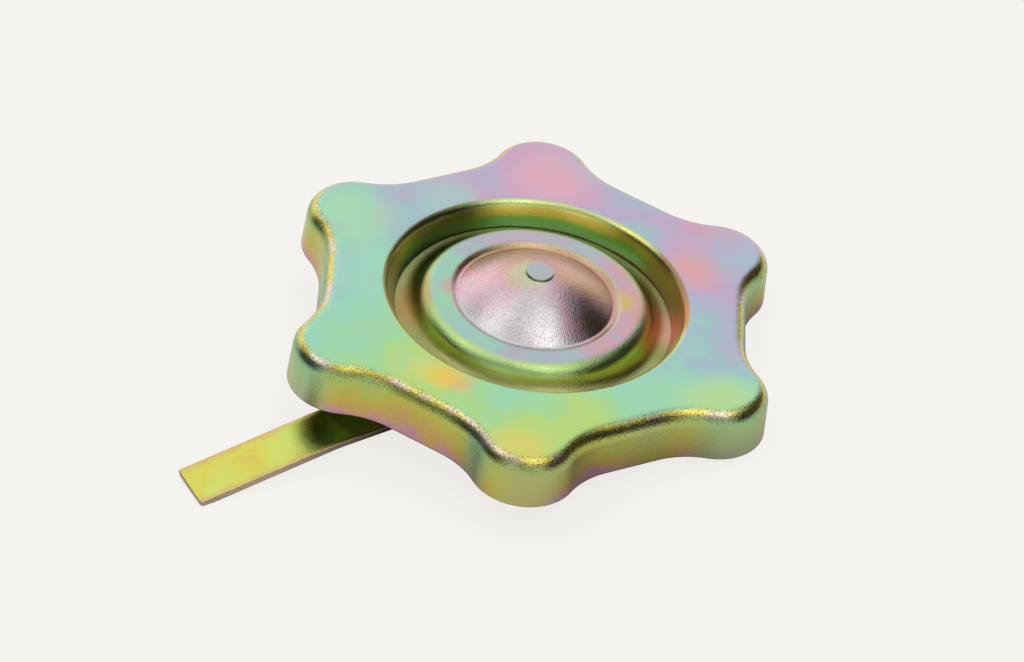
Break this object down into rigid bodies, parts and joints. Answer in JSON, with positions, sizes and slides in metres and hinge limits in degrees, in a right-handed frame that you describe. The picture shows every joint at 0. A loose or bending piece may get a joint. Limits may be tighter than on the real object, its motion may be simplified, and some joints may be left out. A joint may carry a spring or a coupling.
{
  "type": "power steering reservoir cap",
  "caption": "Twist-on reservoir cap: lobed pressed-steel handle around a domed centre, with rubber seal, locking cup and a swinging dipstick.",
  "frame": {"origin": "centre of the seal's seating face, on the cap's axis", "axes": "+Z along the cap's axis, out of the reservoir; +X through the tip of a lobe, opposite the dipstick"},
  "size_m": [0.0778, 0.0568, 0.0187],
  "materials": {
    "handle_plating": "yellow-passivated zinc plating, satin, iridescent from mint to pink and gold",
    "centre_plating": "yellow-passivated zinc plating, pink to lilac, fine grained",
    "cup_plating": "yellow-passivated zinc plating, straw yellow",
    "rivet_plating": "yellow-passivated zinc plating, grey-green",
    "strip_plating": "yellow-passivated zinc plating, yellow-green with mint patches",
    "seal_rubber": "matt black nitrile rubber"
  },
  "bodies": {
    "cap": {"star_handle": "handle_plating", "centre_pressing": "centre_plating", "seal_ring": "seal_rubber", "locking_cup": "cup_plating", "centre_rivet": "rivet_plating", "hinge_pin": "rivet_plating"},
    "dipstick": {"dipstick": "strip_plating"}
  },
  "joints": [
    {"name": "dipstick_swing", "type": "hinge", "parent": "cap", "child": "dipstick", "pos_m": [0, 0, 0.00035], "axis": [0, -1, 0], "range_deg": [-7, 160]}
  ]
}
